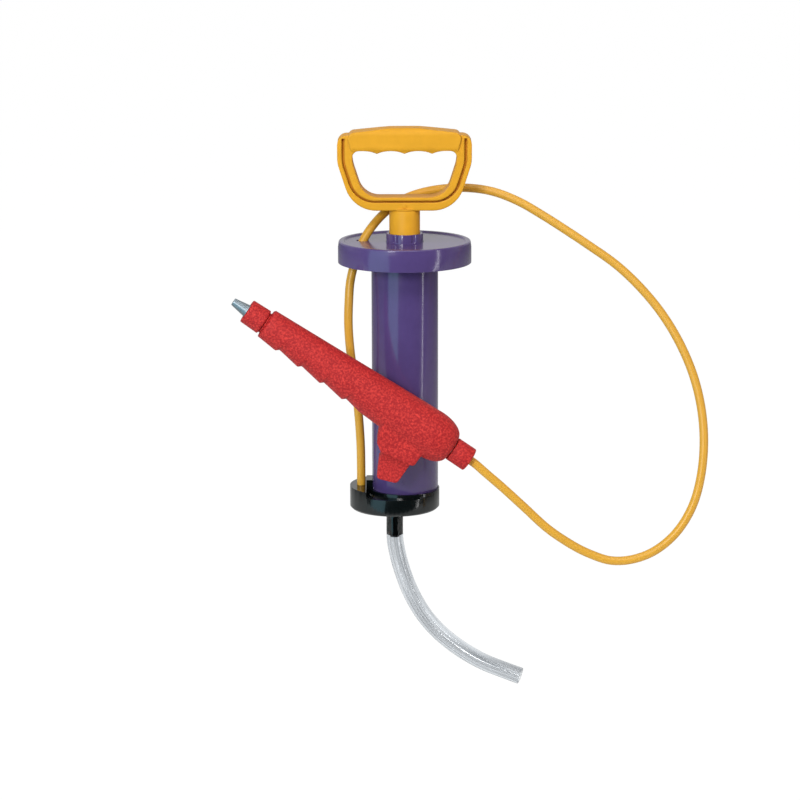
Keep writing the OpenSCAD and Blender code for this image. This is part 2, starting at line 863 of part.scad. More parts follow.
// Boss under the body that the trigger slides in
module housing_form() {
    plate_xz(2 * housing_half_w)
        polygon(concat(
            [
                [housing_front_u - housing_slope_l, housing_root_v],
                [housing_front_u - housing_slope_l, housing_slope_v],
                [housing_front_u - housing_bulge_l, housing_bulge_v],
                [housing_front_u, housing_front_v]
            ],
            arc(
                [housing_rear_u - housing_rear_r, housing_rear_v + housing_rear_r],
                housing_rear_r, 280, 360, 6
            ),
            [[housing_rear_u, housing_root_v]]
        ));
}

module body_solid() {
    intersection() {
        body_form();
        groove_form();
    }
    housing_form();
}

// Hollow of the body, less its screw posts and the saddles that hold the valve body
module body_hollow() {
    saddle_t = 3;
    saddle_lead = 6;
    saddle_tail = 8;
    u0 = body_u0 + front_wall;
    u1 = body_u1 - body_wall;
    difference() {
        along_u()
            rotate_extrude($fn = 96)
                polygon(concat(
                    [[0, u0], [body_r(u0) - body_wall, u0]],
                    [for (a = [0 : 15 : 90])
                        [
                            body_tail_r + (body_rear_r - body_wall - body_tail_r) * cos(a),
                            body_us + (u1 - body_us) * sin(a)
                        ]],
                    [[0, u1]]
                ));
        for (s = screw_spots())
            translate([s[0], 0, s[1]])
                along_y(-body_rear_r)
                    cylinder(r = post_r, h = 2 * body_rear_r);
        for (u = [valve_u0 + saddle_lead, valve_u1 - saddle_tail])
            along_u()
                pipe(body_rear_r, valve_body_r + seat_gap, u, u + saddle_t);
    }
}

module trigger_hollow() {
    translate([mouth_u0, -mouth_y, -trigger_drop])
        cube([mouth_u1 - mouth_u0, 2 * mouth_y, trigger_drop + chamber_v]);
    translate([mouth_u0, -mouth_y - ear_w, ledge_v])
        cube([mouth_u1 - mouth_u0, 2 * (mouth_y + ear_w), chamber_v - ledge_v]);
    translate([trigger_u, 0, ledge_v])
        cylinder(r = valve_body_r, h = -ledge_v);
}

// One half of the lance's body; side is -1 for the half that faces the front
module gun_shell(side) {
    reach = 2 * body_l;
    color(red)
        on_gun()
            intersection() {
                difference() {
                    body_solid();
                    body_hollow();
                    trigger_hollow();
                    along_u() {
                        rod(stub_neck_r + seat_gap, body_u0 - past, body_u0 + front_wall + past);
                        rod(tail_r + seat_gap, body_u1 - body_wall - past, body_u1 + past);
                    }
                    for (s = screw_spots())
                        translate([s[0], 0, s[1]]) {
                            along_y(body_screw_head_y - body_screw_l)
                                cylinder(r = body_screw_r + seat_gap, h = body_screw_l + past);
                            along_y(body_screw_head_y)
                                cylinder(r = body_screw_head_r + seat_gap, h = body_rear_r);
                        }
                }
                translate([-body_l / 2, side > 0 ? 0 : -reach, -reach])
                    cube([reach, reach, 2 * reach]);
            }
}

module gun_shell_near() {
    gun_shell(-1);
}

module gun_shell_far() {
    gun_shell(1);
}

module gun_screws() {
    head_h = 1.6;
    color(metal)
        on_gun()
            for (s = screw_spots())
                translate([s[0], 0, s[1]]) {
                    along_y(body_screw_head_y)
                        cylinder(r = body_screw_head_r, h = head_h);
                    along_y(body_screw_head_y - body_screw_l + past)
                        cylinder(r = body_screw_r, h = body_screw_l - past + eps);
                }
}

// Pipe from the valve to the nozzle; its neck is caught in the body's front wall
module water_tube() {
    flange_t = 2;
    flange_u = body_u0 + front_wall + seat_gap;
    flange_r = body_r(flange_u) - body_wall - slide_gap;
    color(red)
        on_gun()
            along_u()
                difference() {
                    union() {
                        rod(stub_r, stub_u0, body_u0 - seat_gap);
                        rod(stub_neck_r, stub_u0, flange_u + eps);
                        rod(flange_r, flange_u, flange_u + flange_t);
                        rod(tube_r, flange_u, valve_u0 + tube_socket);
                    }
                    rod(water_r, stub_u0 - past, valve_u0 + tube_socket + past);
                }
}

// Turned metal tip with a jet, held by its flange inside the nozzle nut
module nozzle_tip() {
    throat = 4;
    color(metal)
        on_gun()
            along_u()
                difference() {
                    union() {
                        translate([0, 0, -tip_l])
                            cylinder(r1 = tip_front_r, r2 = tip_r - 0.2, h = tip_l);
                        rod(tip_r, -eps, nut_front + eps);
                        rod(stub_r - slide_gap, nut_front, nut_front + tip_flange);
                    }
                    rod(jet_d / 2, -tip_l - past, nut_front + tip_flange + past);
                    translate([0, 0, nut_front + tip_flange - throat])
                        cylinder(r1 = jet_d / 2, r2 = water_r, h = throat + eps);
                }
}

module nozzle_washer() {
    color(rubber)
        on_gun()
            along_u()
                pipe(stub_r - slide_gap, water_r, nut_front + tip_flange, stub_u0);
}

module nozzle_nut() {
    flare = 0.4;
    color(red)
        on_gun()
            along_u()
                difference() {
                    cylinder(r1 = nozzle_nut_r, r2 = nozzle_nut_r + flare, h = nozzle_nut_l, $fn = 96);
                    rod(tip_r + seat_gap, -past, nut_front + past);
                    rod(stub_r + seat_gap, nut_front, nozzle_nut_l + past);
                }
}

// Valve body: a water way along u, and a cross bore for the spool
module valve_body() {
    bore_top = spool_top + trigger_travel + slide_gap;
    color(pale)
        on_gun()
            difference() {
                along_u()
                    difference() {
                        rod(valve_body_r, valve_u0, valve_u1);
                        rod(water_r, valve_u0 - past, valve_u1 + past);
                        rod(tube_r + seat_gap, valve_u0 - past, valve_u0 + tube_socket);
                        rod(tube_r + seat_gap, valve_u1 - tube_socket, valve_u1 + past);
                    }
                translate([trigger_u, 0, -valve_body_r - past])
                    cylinder(r = spool_r + spool_gap, h = valve_body_r + past + bore_top);
            }
}

// Spool with a waist that opens the water way when the trigger is pushed in
module valve_spool() {
    color(pale)
        on_gun()
            translate([trigger_u, 0, 0])
                difference() {
                    union() {
                        rod(stem_r, trigger_top, waist_z1);
                        rod(spool_r, -valve_body_r, waist_z0);
                        rod(spool_r, waist_z1 - eps, spool_top);
                    }
                    seal_grooves();
                }
}

module seal_grooves() {
    for (z = seal_spots)
        pipe(spool_r + past, spool_r - seal_t, z, z + seal_t);
}

module spool_seals() {
    color(rubber)
        on_gun()
            translate([trigger_u, 0, 0])
                for (z = seal_spots)
                    pipe(spool_r, spool_r - seal_t, z, z + seal_t);
}

// Trigger: a rounded push tab with two ears that stop on the housing's ledge
module trigger() {
    half = trigger_w / 2;
    lean_v = -35.5;
    heel_r = 3;
    heel_u = -2.2;
    toe_r = 3.4;
    toe_rise = 3.6;
    color(red)
        on_gun()
            translate([trigger_u, 0, 0]) {
                plate_xz(trigger_t)
                    polygon(concat(
                        [[-half, trigger_top], [-half, lean_v]],
                        arc([heel_u, heel_r - trigger_drop], heel_r, 207, 287, 8),
                        arc([half - toe_r, toe_r + toe_rise - trigger_drop], toe_r, 288, 360, 8),
                        [[half, trigger_top]]
                    ));
                translate([-half, -trigger_t / 2 - ear_w, trigger_top - ear_h])
                    cube([trigger_w, trigger_t + 2 * ear_w, ear_h]);
            }
}

// Return spring between the trigger and the valve body
module trigger_spring() {
    wire_r = 0.5;
    turns = 5;
    steps = 8;
    coil_r = 4.6;
    z0 = trigger_top + wire_r + seat_gap;
    z1 = -valve_body_r - wire_r - seat_gap;
    path = [
        for (i = [0 : turns * steps])
            let (a = 360 * i / steps)
            [coil_r * cos(a), coil_r * sin(a), z0 + (z1 - z0) * i / (turns * steps)]
    ];
    color(metal)
        on_gun()
            translate([trigger_u, 0, 0])
                tube_along(path, wire_r, 6, [0, 0, 1]);
}

// Tail that joins the valve body to the hose
module inlet_tail() {
    thread_r = hose_nut_bore_r - seat_gap;
    color(pale)
        on_gun()
            along_u()
                difference() {
                    union() {
                        rod(tube_r, valve_u1 - tube_socket, valve_u1 + eps);
                        rod(tail_r, valve_u1, body_u1 + seat_gap);
                        rod(thread_r, body_u1 + seat_gap - eps, tail_end_u);
                    }
                    rod(water_r, valve_u1 - tube_socket - past, tail_end_u + past);
                }
}

module hose_nut() {
    color(red)
        on_gun()
            along_u()
                difference() {
                    rod(hose_nut_r, hose_nut_u0, hose_nut_u1);
                    rod(hose_nut_bore_r, hose_nut_u0 - past, tail_end_u + seat_gap);
                    rod(hose_r + slide_gap, hose_nut_u0, hose_nut_u1 + past);
                }
}

barrel();
barrel_seal();
top_cap();
rod_guide();
base();
inlet_spigot();
valve_plate();
intake_ball();
outlet_ball();
outlet_retainer();
handle();
plunger_rod();
piston_head();
piston_cup();
piston_follower();
piston_screw();
suction_tube();
hose_upper();
hose_lower();
gun_shell_near();
gun_shell_far();
gun_screws();
water_tube();
nozzle_tip();
nozzle_washer();
nozzle_nut();
valve_body();
valve_spool();
spool_seals();
trigger();
trigger_spring();
inlet_tail();
hose_nut();
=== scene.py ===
"""Water squirter: finishes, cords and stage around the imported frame."""

import math

import bpy
from mathutils import Matrix, Vector


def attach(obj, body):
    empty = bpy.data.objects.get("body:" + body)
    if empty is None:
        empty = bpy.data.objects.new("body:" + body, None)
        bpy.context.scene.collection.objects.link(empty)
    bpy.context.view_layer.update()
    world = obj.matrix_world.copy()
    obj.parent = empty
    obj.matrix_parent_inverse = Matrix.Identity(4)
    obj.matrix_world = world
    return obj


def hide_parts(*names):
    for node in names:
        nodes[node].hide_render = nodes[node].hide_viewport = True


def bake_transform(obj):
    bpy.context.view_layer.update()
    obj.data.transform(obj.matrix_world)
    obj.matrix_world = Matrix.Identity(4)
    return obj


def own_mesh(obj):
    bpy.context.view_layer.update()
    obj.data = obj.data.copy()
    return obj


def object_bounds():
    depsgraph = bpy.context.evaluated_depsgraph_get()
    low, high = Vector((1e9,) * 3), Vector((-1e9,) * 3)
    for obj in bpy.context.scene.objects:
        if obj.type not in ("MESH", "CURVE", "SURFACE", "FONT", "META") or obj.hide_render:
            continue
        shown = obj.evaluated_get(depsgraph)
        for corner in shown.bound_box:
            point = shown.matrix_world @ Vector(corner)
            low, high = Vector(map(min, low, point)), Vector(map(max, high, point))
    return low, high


bl_info = {
    "name": "Water squirter",
    "version": (1, 0, 0),
    "blender": (4, 5, 0),
    "location": "3D View > Sidebar > Squirter",
    "description": "Dresses a hand-pumped water squirter: plastics, soft hose, clear tube and studio",
    "category": "Object",
}

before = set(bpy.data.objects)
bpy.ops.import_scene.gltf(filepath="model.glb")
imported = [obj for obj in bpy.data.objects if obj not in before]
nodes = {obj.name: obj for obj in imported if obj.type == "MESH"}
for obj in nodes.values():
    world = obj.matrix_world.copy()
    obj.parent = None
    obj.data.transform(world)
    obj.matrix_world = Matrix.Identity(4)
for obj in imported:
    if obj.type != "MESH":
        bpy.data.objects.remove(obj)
cad_low, cad_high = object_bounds()

MM = 0.001
ACROSS = Vector((0, 1, 0))

# Cord routes in millimetres, as the frame's own cord solids run
UPPER_ROUTE = [
    (-33.5, 0, -87), (-33.5, 0, -68), (-33.8, -0.5, -52), (-34.8, -2, -34), (-36.4, -3.5, -16),
    (-38.8, -5, 3), (-41.2, -6, 22), (-42.4, -6, 41), (-42, -4.5, 58), (-40.8, -1.5, 73),
    (-37, 1.8, 88), (-31, 5, 103), (-23.4, 10, 114), (-14, 16.5, 123), (-2, 21.5, 131),
    (12, 24.5, 136), (29, 25.5, 139), (48, 25, 139.6), (67, 22.8, 137), (86, 19.5, 130),
    (104, 16, 120), (121, 12.5, 109.5), (138, 9, 98.5),
]
LOWER_ROUTE = [
    (159, 5, 84), (177, 0, 67.5), (193, -5, 48.5), (206, -11, 27.5), (216, -17, 4.5),
    (222, -23, -19.5), (224, -29, -44), (222, -34, -68.5), (216, -38, -91), (205, -41, -110),
    (190, -42.5, -124), (173, -43.6, -131.5), (155, -43.9, -133), (138, -43.9, -127.5),
    (123, -43.9, -119.5), (106, -43.9, -107.5), (89, -43.9, -91.5), (73, -43.9, -76.5), (60, -43.9, -65),
]
SUCTION_ROUTE = [
    (-8, 0, -104), (-8, 0, -124), (-6.9, 0, -134), (-3.5, 0, -148.5), (3, 0, -167), (12.5, 0, -185),
    (25, 0, -200.5), (41, 0, -214), (59, 0, -225), (76.5, 0, -232.3), (88.5, 0, -236.9),
]
# The lance's own axis: its nozzle nut's front face, its slope, and where the hose enters and ends
LANCE_NOSE = Vector((-116.5, -43.9, 58.5))
LANCE_TILT = math.radians(34.6)
LANCE_AXIS = Vector((math.cos(LANCE_TILT), 0, -math.sin(LANCE_TILT)))
LANCE_UP = Vector((math.sin(LANCE_TILT), 0, math.cos(LANCE_TILT)))
HOSE_ENTRY_U = 203.8
HOSE_END_U = 191.3
# The spigot's taper inside the suction tube, and the collar behind the nozzle nut
TAPER_ROOT = (-8, 0, -104.2)
TAPER_L = 20
COLLAR_U = (15, 17.2)
COLLAR_R = 8.3
# The trigger's return spring: its place along the lance, its ends below the axis, and its coil
SPRING_U = 153.3
SPRING_V = (-19.4, -9.1)
SPRING_R = 4.6
SPRING_WIRE_R = 0.5
SPRING_TURNS = 5

# How finely the round pieces are drawn
HOSE_SIDES = 24
SUCTION_SIDES = 48
LATHE_SIDES = 48
SPRING_SIDES = 10
STEPS_PER_TURN = 24
STEPS_PER_SPAN = 6
# The suction tube's material places, and the map that its draw lines and their painted reflection streaks
# follow
WALL, BORE, CUT = range(3)
TUBE_MAP = "round_and_along"

# Refractive indices of the plastics
HARD_IOR = 1.53
SOFT_IOR = 1.52
# Painted shade in recesses: shares of open sky, within a small reach, at which the painted shade is deepest
# and where it ends
RECESS_REACH = 3 * MM
RECESS_SKY = (0.15, 0.62)
# Rays that a shader sends out to find recesses and edges
NODE_SAMPLES = 8

# Camera, with its place given by the point it looks at
CAMERA_PITCH = math.radians(12.2)
CAMERA_ROLL = math.radians(-0.15)
CAMERA_DISTANCE = 2250 * MM
CAMERA_FOCUS = Vector((-3.8, 0, -18.6)) * MM
CAMERA_LENS = 133.65
SENSOR_W = 36
# Floor, in metres: its reach, its front edge and how far below the part it lies; then how it glows
FLOOR_HALF = 20
FLOOR_FRONT = -0.36
FLOOR_DROP = 1 * MM
FLOOR_GLOW = 1.05
GLOW_SHARE = 0.94
# Studio levels, dark in front and light behind, as gloss and clear plastic see them, and for all else
SWEEP_Y = (-0.45, 0.35)
GLOSS_LEVELS = (0.03, 0.68)
CLEAR_LEVELS = (0.4, 0.9)
FILL_LEVEL = 0.22
# Lamps: place, width and height in metres, power in watts, and tint
WHITE = (1.0, 1.0, 1.0)
LAMPS = {
    "key_left": ((-0.85, -2.0, 0.75), (0.5, 0.5), 22, WHITE),
    "wide_front": ((0.1, -1.55, 1.55), (2.6, 0.5), 17, WHITE),
    "overhead": ((0.1, -0.3, 1.8), (1.6, 0.35), 8, WHITE),
    "panel_left": ((-0.72, -0.72, 0), (0.66, 1.1), 3.2, (0.45, 0.85, 1.0)),
    "strip_right": ((0.9, -0.55, 0), (0.06, 1.1), 1.6, WHITE),
    "tube_glint": ((0.66, -2.1, 0), (0.3, 0.5), 4, WHITE),
}


def linear(hex_colour):
    """Scene-linear colour of an sRGB hex value."""
    channels = [int(hex_colour[i:i + 2], 16) / 255 for i in (0, 2, 4)]
    curve = [c / 12.92 if c <= 0.04045 else ((c + 0.055) / 1.055) ** 2.4 for c in channels]
    return (*curve, 1.0)


def colour(label, hex_colour):
    return bpy.props.FloatVectorProperty(
        name=label, description=f"Colour of the {label.lower()}", subtype="COLOR", size=4,
        min=0, max=1, default=linear(hex_colour))


def length(label, description, millimetres):
    return bpy.props.FloatProperty(
        name=label, description=description, subtype="DISTANCE", unit="LENGTH", min=0,
        default=millimetres * MM)


class SquirterColours(bpy.types.PropertyGroup):
    violet: colour("Barrel and cap", "544277")
    amber: colour("Handle and rod", "E6A328")
    # Painted shade: the deeper colour that the handle's recesses turn towards where little open sky reaches
    # them
    amber_recess_shade: colour("Handle's recesses", "AE5014")
    hose: colour("Hose", "E2A632")
    black: colour("Base", "070D0E")
    red: colour("Lance", "B61A1F")
    # Grain tone and painted highlight: the brighter colour painted on the crests of the lance's grain
    red_grain_sheen: colour("Bright specks of the lance", "E03A33")
    tip: colour("Nozzle tip", "88939A")
    steel: colour("Screws and spring", "B8BCC0")
    acetal: colour("Valve parts", "E9E7E0")
    seal: colour("Seals", "262628")
    # Clear PVC with a faint blue-grey tint, partly its own tint and partly painted reflection of the dark
    # studio
    clear: colour("Suction tube", "DADFE4")
    bore: colour("Suction tube's bore", "EEF0F2")
    floor: colour("Floor", "F4F4F2")


class SquirterSizes(bpy.types.PropertyGroup):
    hose_d: length("Hose diameter", "Outside diameter of the delivery hose", 6.5)
    tube_d: length("Suction tube diameter", "Outside diameter of the suction tube", 12.7)
    tube_bore_d: length("Suction tube bore", "Bore of the suction tube", 9.5)
    grain: length("Lance grain", "Spacing of the grain moulded into the lance", 1.5)
    soft_r: length("Lance edge radius", "Radius that the lance's edges are softened to", 2.2)
    grip_r: length("Handle edge radius", "Radius that the handle's edges are softened to", 1.8)
    base_r: length("Base edge radius", "Radius of the black base's edges", 1.4)
    edge_r: length("Moulded edge radius", "Radius of the plastic pieces' edges", 0.8)


def add(tree, kind, inputs=None, **settings):
    """Adds a node with its settings; an input is a value or another node's socket."""
    node = tree.nodes.new(kind)
    for key, value in settings.items():
        setattr(node, key, value)
    for key, value in (inputs or {}).items():
        if isinstance(value, bpy.types.NodeSocket):
            tree.links.new(value, node.inputs[key])
        else:
            node.inputs[key].default_value = value
    return node


def new_material(name):
    material = bpy.data.materials.new(name)
    material.use_nodes = True
    tree = material.node_tree
    tree.nodes.clear()
    return material, tree


def close(tree, shader):
    """Makes the shader the material's surface."""
    add(tree, "ShaderNodeOutputMaterial", {"Surface": shader.outputs[0]})


def dress(names, material, edge_r=0.0):
    """Gives CAD nodes a finish and, where asked, moulded edges."""
    for name in names:
        obj = nodes[name]
        obj.data.materials.clear()
        obj.data.materials.append(material)
        if edge_r:
            round_edges(obj, edge_r)


def round_edges(obj, radius):
    """Rounds a piece's sharp edges, as a mould does."""
    weld = obj.modifiers.new("weld", "WELD")
    weld.merge_threshold = 0.002 * MM
    bevel = obj.modifiers.new("moulded_edges", "BEVEL")
    bevel.width = radius
    bevel.segments = 3
    bevel.limit_method = "ANGLE"
    bevel.angle_limit = math.radians(32)
    bevel.use_clamp_overlap = True
    bevel.harden_normals = True


def settings():
    return bpy.context.scene.squirter_sizes, bpy.context.scene.squirter_colours


def speckle(tree, spacing, detail=2.0):
    """Fine three-dimensional noise with one bump per spacing."""
    where = add(tree, "ShaderNodeTexCoord")
    return add(tree, "ShaderNodeTexNoise", {
        "Vector": where.outputs["Object"], "Scale": 1 / spacing, "Detail": detail, "Roughness": 0.6})


def shade(base, factor):
    """The colour, darker or lighter by a factor."""
    return (*[min(1.0, c * factor) for c in base[:3]], 1.0)


def moulded_abs(name, base, roughness, recess_shade=None, soft_r=0.0, gloss=0.5):
    """Gloss plastic, injection moulded: faint flow ripples, soft edges, and painted shade that deepens the
    colour in recesses.
    """
    material, tree = new_material(name)
    flow = speckle(tree, 9 * MM)
    tint = add(tree, "ShaderNodeMixRGB", {
        "Fac": flow.outputs["Fac"], "Color1": shade(base, 0.92), "Color2": shade(base, 1.08)})
    # Painted shade: where a recess sees little open sky within a small reach, the colour turns towards the
    # recess shade
    if recess_shade:
        sky = add(tree, "ShaderNodeAmbientOcclusion", {"Distance": RECESS_REACH}, samples=NODE_SAMPLES)
        share = add(tree, "ShaderNodeMapRange", {
            "Value": sky.outputs["AO"], "From Min": RECESS_SKY[0], "From Max": RECESS_SKY[1]})
        tint = add(tree, "ShaderNodeMixRGB", {
            "Fac": share.outputs["Result"], "Color1": recess_shade[:], "Color2": tint.outputs["Color"]})
    bump = add(tree, "ShaderNodeBump", {
        "Height": flow.outputs["Fac"], "Strength": 0.04, "Distance": 0.3 * MM})
    if soft_r:
        soft = add(tree, "ShaderNodeBevel", {"Radius": soft_r}, samples=NODE_SAMPLES)
        tree.links.new(soft.outputs["Normal"], bump.inputs["Normal"])
    rough = add(tree, "ShaderNodeMapRange", {
        "Value": flow.outputs["Fac"], "To Min": roughness * 0.8, "To Max": roughness * 1.2})
    close(tree, add(tree, "ShaderNodeBsdfPrincipled", {
        "Base Color": tint.outputs["Color"], "Roughness": rough.outputs["Result"], "IOR": HARD_IOR,
        "Specular IOR Level": gloss, "Normal": bump.outputs["Normal"]}))
    return material


def textured_abs(name, base, grain_sheen, grain, soft_r):
    """Spark-eroded ABS: a matt sandy grain and softened edges; the grain's crests are painted brighter,
    partly the grain's own tone and partly a painted highlight of the light they catch.
    """
    material, tree = new_material(name)
    sand = speckle(tree, grain, 3.0)
    # Grain tone and painted highlight: the crests of the grain are painted the brighter colour
    crest = add(tree, "ShaderNodeMapRange", {
        "Value": sand.outputs["Fac"], "From Min": 0.42, "From Max": 0.68})
    tint = add(tree, "ShaderNodeMixRGB", {
        "Fac": crest.outputs["Result"], "Color1": shade(base, 0.85), "Color2": grain_sheen[:]})
    soft = add(tree, "ShaderNodeBevel", {"Radius": soft_r}, samples=NODE_SAMPLES)
    bump = add(tree, "ShaderNodeBump", {
        "Height": sand.outputs["Fac"], "Strength": 0.4, "Distance": 0.4 * MM,
        "Normal": soft.outputs["Normal"]})
    close(tree, add(tree, "ShaderNodeBsdfPrincipled", {
        "Base Color": tint.outputs["Color"], "Roughness": 0.6, "IOR": HARD_IOR, "Specular IOR Level": 0.3,
        "Normal": bump.outputs["Normal"]}))
    return material


def soft_pvc(name, base):
    """Plasticised PVC, extruded: a soft satin skin, a little uneven along the hose."""
    material, tree = new_material(name)
    flow = speckle(tree, 14 * MM)
    tint = add(tree, "ShaderNodeMixRGB", {
        "Fac": flow.outputs["Fac"], "Color1": shade(base, 0.94), "Color2": shade(base, 1.06)})
    close(tree, add(tree, "ShaderNodeBsdfPrincipled", {
        "Base Color": tint.outputs["Color"], "Roughness": 0.38, "IOR": SOFT_IOR}))
    return material


def clear_pvc(name, base, streak):
    """Clear PVC tube, extruded: glassy walls with draw lines along the tube, whose dark and bright bands are
    partly painted reflection.
    """
    material, tree = new_material(name)
    around = add(tree, "ShaderNodeUVMap", uv_map=TUBE_MAP)
    drawn = add(tree, "ShaderNodeVectorMath", {
        0: around.outputs["UV"], 1: (1 / streak, 0.02 / streak, 1)}, operation="MULTIPLY")
    lines = add(tree, "ShaderNodeTexNoise", {"Vector": drawn.outputs["Vector"], "Scale": 1.0, "Detail": 2.0})
    clear = add(tree, "ShaderNodeMapRange", {
        "Value": lines.outputs["Fac"], "From Min": 0.36, "From Max": 0.6})
    # Draw lines and painted reflection: the lines' dark and bright bands also stand in for reflections along
    # the tube
    tint = add(tree, "ShaderNodeMixRGB", {
        "Fac": clear.outputs["Result"], "Color1": shade(base, 0.55), "Color2": shade(base, 1.2)})
    rough = add(tree, "ShaderNodeMapRange", {
        "Value": lines.outputs["Fac"], "To Min": 0.01, "To Max": 0.06})
    close(tree, add(tree, "ShaderNodeBsdfPrincipled", {
        "Base Color": tint.outputs["Color"], "Roughness": rough.outputs["Result"], "IOR": HARD_IOR,
        "Transmission Weight": 1.0}))
    return material


def cut_pvc(name, base):
    """Clear PVC where a knife cut it: a matt rim that still lets the light through."""
    material, tree = new_material(name)
    drag = speckle(tree, 1 * MM)
    rough = add(tree, "ShaderNodeMapRange", {"Value": drag.outputs["Fac"], "To Min": 0.3, "To Max": 0.6})
    close(tree, add(tree, "ShaderNodeBsdfPrincipled", {
        "Base Color": base[:], "Roughness": rough.outputs["Result"], "IOR": HARD_IOR,
        "Transmission Weight": 1.0}))
    return material


def wetted_abs(name, base):
    """Black ABS under a tight clear sleeve: no air between, so it shows its colour and no gloss."""
    material, tree = new_material(name)
    flow = speckle(tree, 4 * MM)
    tint = add(tree, "ShaderNodeMixRGB", {
        "Fac": flow.outputs["Fac"], "Color1": shade(base, 0.8), "Color2": shade(base, 1.2)})
    close(tree, add(tree, "ShaderNodeBsdfPrincipled", {
        "Base Color": tint.outputs["Color"], "Roughness": 0.8, "Specular IOR Level": 0.0}))
    return material


def turned_metal(name, base, roughness, ring):
    """Turned or drawn metal: fine rings that stretch the highlights."""
    material, tree = new_material(name)
    lines = speckle(tree, ring, 1.0)
    bump = add(tree, "ShaderNodeBump", {
        "Height": lines.outputs["Fac"], "Strength": 0.05, "Distance": 0.1 * MM})
    rough = add(tree, "ShaderNodeMapRange", {
        "Value": lines.outputs["Fac"], "To Min": roughness * 0.8, "To Max": roughness * 1.25})
    close(tree, add(tree, "ShaderNodeBsdfPrincipled", {
        "Base Color": base[:], "Metallic": 1.0, "Roughness": rough.outputs["Result"],
        "Normal": bump.outputs["Normal"]}))
    return material


def smooth_route(points):
    """A smooth curve through the points, in metres."""
    p = [Vector(q) * MM for q in points]
    p = [2 * p[0] - p[1], *p, 2 * p[-1] - p[-2]]
    out = []
    for a, b, c, d in zip(p, p[1:], p[2:], p[3:]):
        for step in range(STEPS_PER_SPAN):
            t = step / STEPS_PER_SPAN
            out.append(0.5 * (2 * b + (c - a) * t + (2 * a - 5 * b + 4 * c - d) * t * t
                              + (3 * b - a - 3 * c + d) * t ** 3))
    return [*out, p[-2]]


def tube_rings(path, radius, sides, across):
    """Rings of points round the path, square to it; across is a way that the path never runs."""
    rings = []
    for i, point in enumerate(path):
        along = (path[min(i + 1, len(path) - 1)] - path[max(i - 1, 0)]).normalized()
        side = across.cross(along).normalized()
        up = along.cross(side)
        turns = [2 * math.pi * k / sides for k in range(sides)]
        rings.append([point + radius * (math.cos(a) * side + math.sin(a) * up) for a in turns])
    return rings


def tube(name, path, radius, sides, bore=0.0, across=ACROSS):
    """A closed tube along the path, with a bore where one is given; a bored tube's ends have sharp edges."""
    run = [0.0]
    for a, b in zip(path, path[1:]):
        run.append(run[-1] + (b - a).length)
    outer = list(zip(tube_rings(path, radius, sides, across), run))
    walls = [outer]
    if bore:
        inner = list(zip(tube_rings(path, bore, sides, across), run))[::-1]
        walls += [[outer[-1], inner[0]], inner, [inner[-1], outer[0]]]
    verts, faces, along = [], [], []
    for wall in walls:
        for i, (ring, distance) in enumerate(wall):
            b = len(verts)
            a = b - sides
            if i:
                faces += [(a + k, a + (k + 1) % sides, b + (k + 1) % sides, b + k) for k in range(sides)]
            verts += ring
            along.append(distance)
    if not bore:
        faces += [tuple(range(sides))[::-1], tuple(range(len(verts) - sides, len(verts)))]
    mesh = bpy.data.meshes.new(name)
    mesh.from_pydata(verts, [], faces)
    mesh.shade_smooth()
    map_tube(mesh, along, radius, sides)
    obj = bpy.data.objects.new(name, mesh)
    bpy.context.scene.collection.objects.link(obj)
    return obj


def map_tube(mesh, along, radius, sides):
    """Lays a map on a tube in metres: round it, and along it by each ring's distance from the start."""
    layer = mesh.uv_layers.new(name=TUBE_MAP)
    for loop in mesh.loops:
        ring, side = divmod(loop.vertex_index, sides)
        turn = 1 - abs(1 - 2 * side / sides)
        layer.data[loop.index].uv = (turn * math.pi * radius, along[ring])


def lathe(name, profile, origin, axis, sides=LATHE_SIDES):
    """A closed ring turned from pairs of radius and distance along an axis, all in millimetres."""
    turn = Vector(axis).to_track_quat("Z", "X")
    turns = [2 * math.pi * k / sides for k in range(sides)]
    verts, faces = [], []
    for radius, along in profile:
        ring = [Vector((radius * math.cos(a), radius * math.sin(a), along)) for a in turns]
        verts += [(Vector(origin) + turn @ point) * MM for point in ring]
    count = len(profile)
    for i in range(count):
        a, b = i * sides, (i + 1) % count * sides
        faces += [(a + k, a + (k + 1) % sides, b + (k + 1) % sides, b + k) for k in range(sides)]
    mesh = bpy.data.meshes.new(name)
    mesh.from_pydata(verts, [], faces)
    obj = bpy.data.objects.new(name, mesh)
    bpy.context.scene.collection.objects.link(obj)
    return obj


def glint_pieces():
    """The pieces that the narrow glint lamp shines on."""
    name = "glint_pieces"
    return bpy.data.collections.get(name) or bpy.data.collections.new(name)


